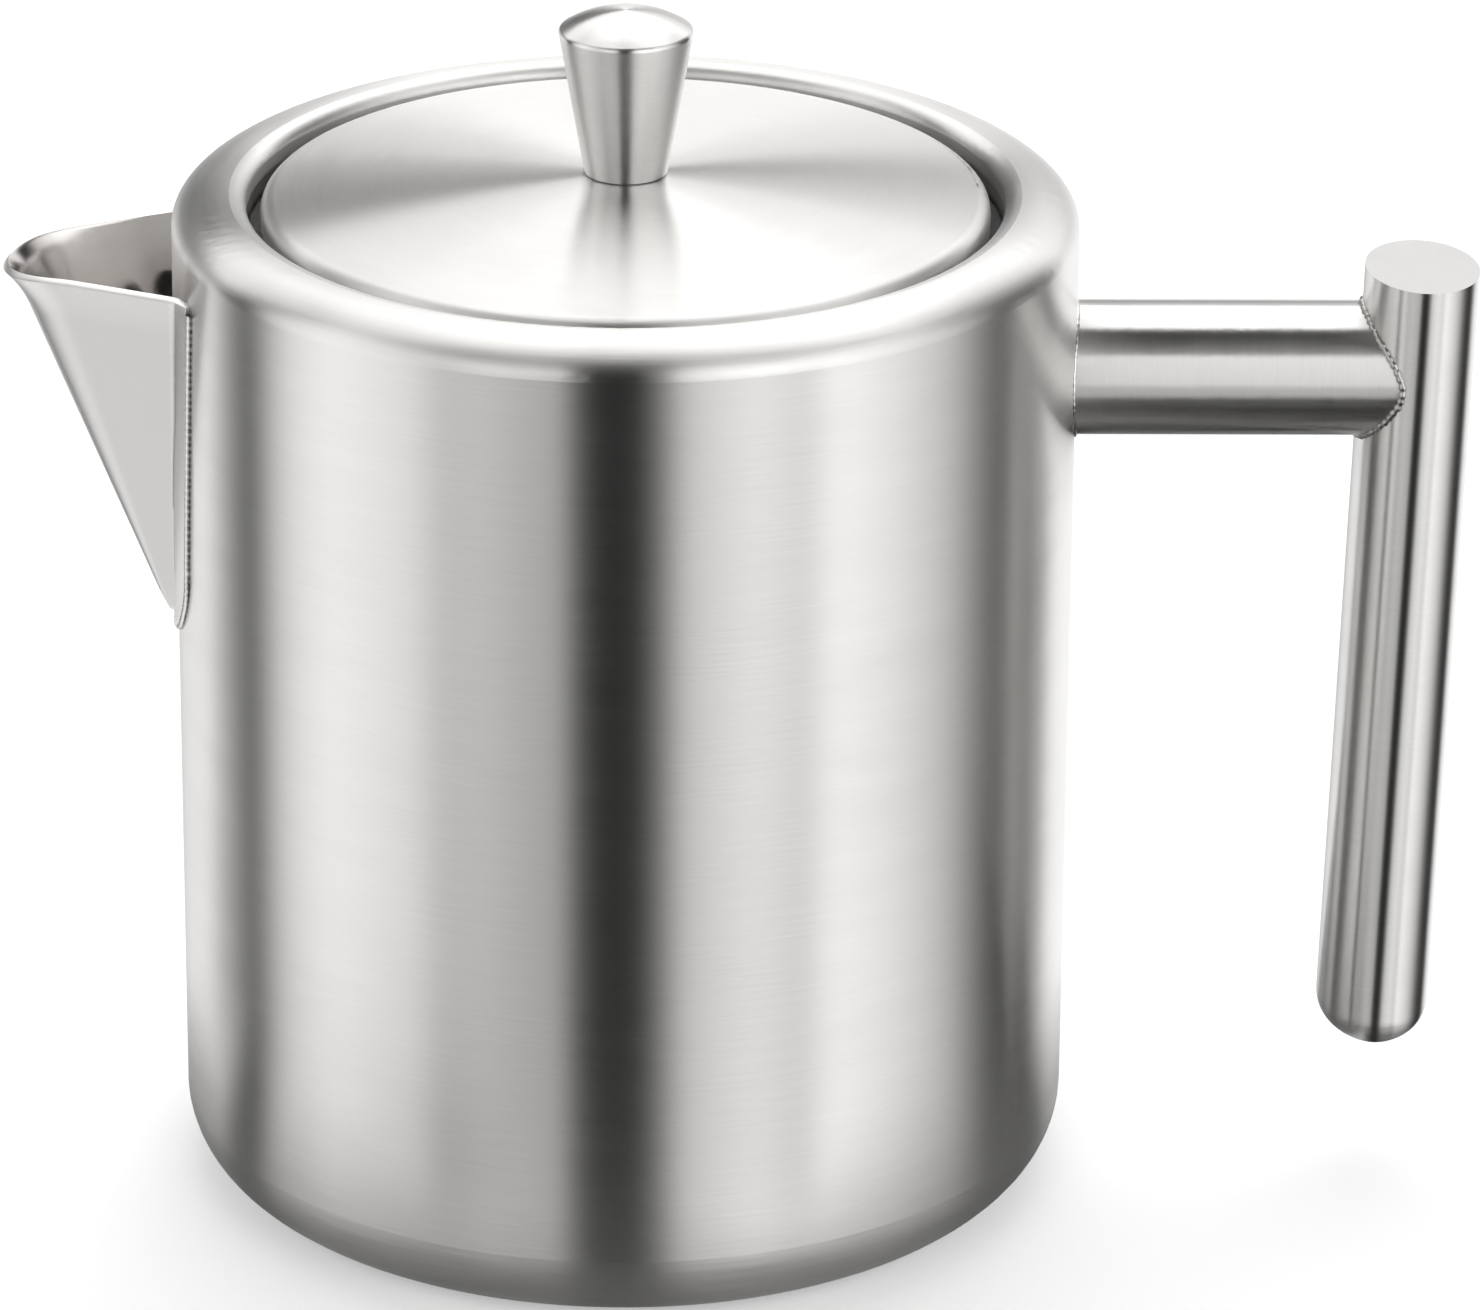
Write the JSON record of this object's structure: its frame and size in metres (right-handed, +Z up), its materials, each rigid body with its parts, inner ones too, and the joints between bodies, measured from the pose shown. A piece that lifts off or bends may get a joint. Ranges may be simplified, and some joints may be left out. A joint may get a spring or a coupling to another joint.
{
  "type": "french press",
  "caption": "Squat double-walled steel french press with a folded pouring spout, a T-shaped tube handle, an inset lid and a filter plunger.",
  "frame": {"origin": "on the pot's axis, in the plane of its flat base", "axes": "+Z up along the pot's axis, +X from the axis to the handle, -X to the spout"},
  "size_m": [0.1795, 0.11, 0.1503],
  "materials": {
    "satin_steel": "satin, brushed around the pot",
    "lid_steel": "satin, turned in fine circles",
    "handle_steel": "satin, brushed around the tubes",
    "knob_steel": "satin, turned",
    "spout_steel": "fine matt sheet",
    "vessel_steel": "plain drawn sheet",
    "filter_steel": "pressed sheet and wire",
    "mesh_steel": "fine woven wire",
    "polished_steel": "bright turned",
    "weld_steel": "rippled weld bead",
    "silicone": "matt",
    "guide_plastic": "matt"
  },
  "bodies": {
    "pot": {"outer_shell": "satin_steel", "inner_vessel": "vessel_steel", "base_disc": "satin_steel", "rim_weld": "weld_steel", "spout_port": "vessel_steel", "spout": "spout_steel", "spout_weld": "weld_steel", "handle_backing": "vessel_steel", "handle_arm": "handle_steel", "arm_body_weld": "weld_steel", "arm_grip_weld": "weld_steel", "grip_tube": "handle_steel", "grip_top_cap": "handle_steel", "grip_bottom_cap": "handle_steel"},
    "seal": {"lid_seal": "silicone"},
    "lid": {"lid_top": "lid_steel", "lid_base": "vessel_steel", "rod_guide": "guide_plastic", "guide_nut": "polished_steel"},
    "plunger": {"plunger_rod": "polished_steel", "knob": "knob_steel", "filter_hub": "polished_steel", "filter_cover": "filter_steel", "filter_spring": "filter_steel", "filter_mesh": "mesh_steel", "cross_plate": "filter_steel", "filter_nut": "polished_steel"}
  },
  "joints": [
    {"name": "lid_lift", "type": "slide", "parent": "pot", "child": "seal", "axis": [0, 0, 1], "range_m": [0, 0.112]},
    {"name": "lid_turn", "type": "hinge", "parent": "seal", "child": "lid", "pos_m": [0, 0, 0.1235], "axis": [0, 0, 1], "continuous": true},
    {"name": "plunger_slide", "type": "slide", "parent": "lid", "child": "plunger", "axis": [0, 0, 1], "range_m": [0, 0.077]}
  ]
}
